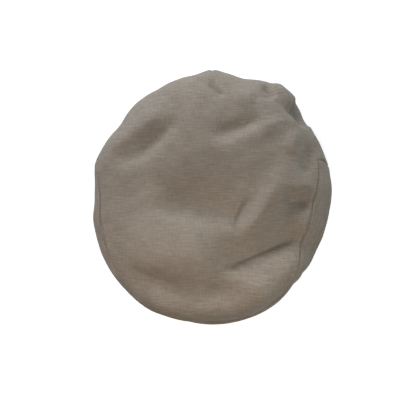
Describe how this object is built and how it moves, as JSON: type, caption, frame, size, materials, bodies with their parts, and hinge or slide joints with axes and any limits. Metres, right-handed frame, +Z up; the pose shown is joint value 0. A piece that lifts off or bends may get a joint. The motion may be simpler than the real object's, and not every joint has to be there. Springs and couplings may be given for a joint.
{
  "type": "flat cap",
  "caption": "Linen flat cap with a one-piece top panel, crescent side panels, a short stiff peak, a lining and a sweatband, lying flat on its rim.",
  "frame": {"origin": "on the table, under the middle of the cap", "axes": "+Z up, -Y towards the peak, +X to the wearer's left; +Y runs along the cap's length to its back"},
  "size_m": [0.2496, 0.2701, 0.0793],
  "materials": {
    "outer_linen": "matt plain-weave linen",
    "lining_cloth": "smooth twill lining",
    "band_cotton": "matt ribbed cotton",
    "peak_board": "matt moulded sheet",
    "canvas": "matt stiffened canvas",
    "pad_foam": "matt knitted foam",
    "label_satin": "satin ribbon",
    "sewing_thread": "twisted polyester thread"
  },
  "bodies": {
    "root": {"crown_top_panel": "outer_linen", "side_panel_right": "outer_linen", "side_panel_left": "outer_linen", "peak_upper_cover": "outer_linen", "peak_under_cover": "outer_linen", "peak_board": "peak_board", "front_interlining": "canvas", "lining_top": "lining_cloth", "lining_side_right": "lining_cloth", "lining_side_left": "lining_cloth", "sweatband": "band_cotton", "stay_tape": "canvas", "forehead_pad": "pad_foam", "maker_label": "label_satin", "care_label": "label_satin", "size_label": "label_satin", "side_seam_thread_right": "sewing_thread", "side_seam_thread_left": "sewing_thread", "back_dart_thread": "sewing_thread", "sweatband_thread": "sewing_thread", "peak_edge_thread": "sewing_thread"}
  },
  "joints": []
}
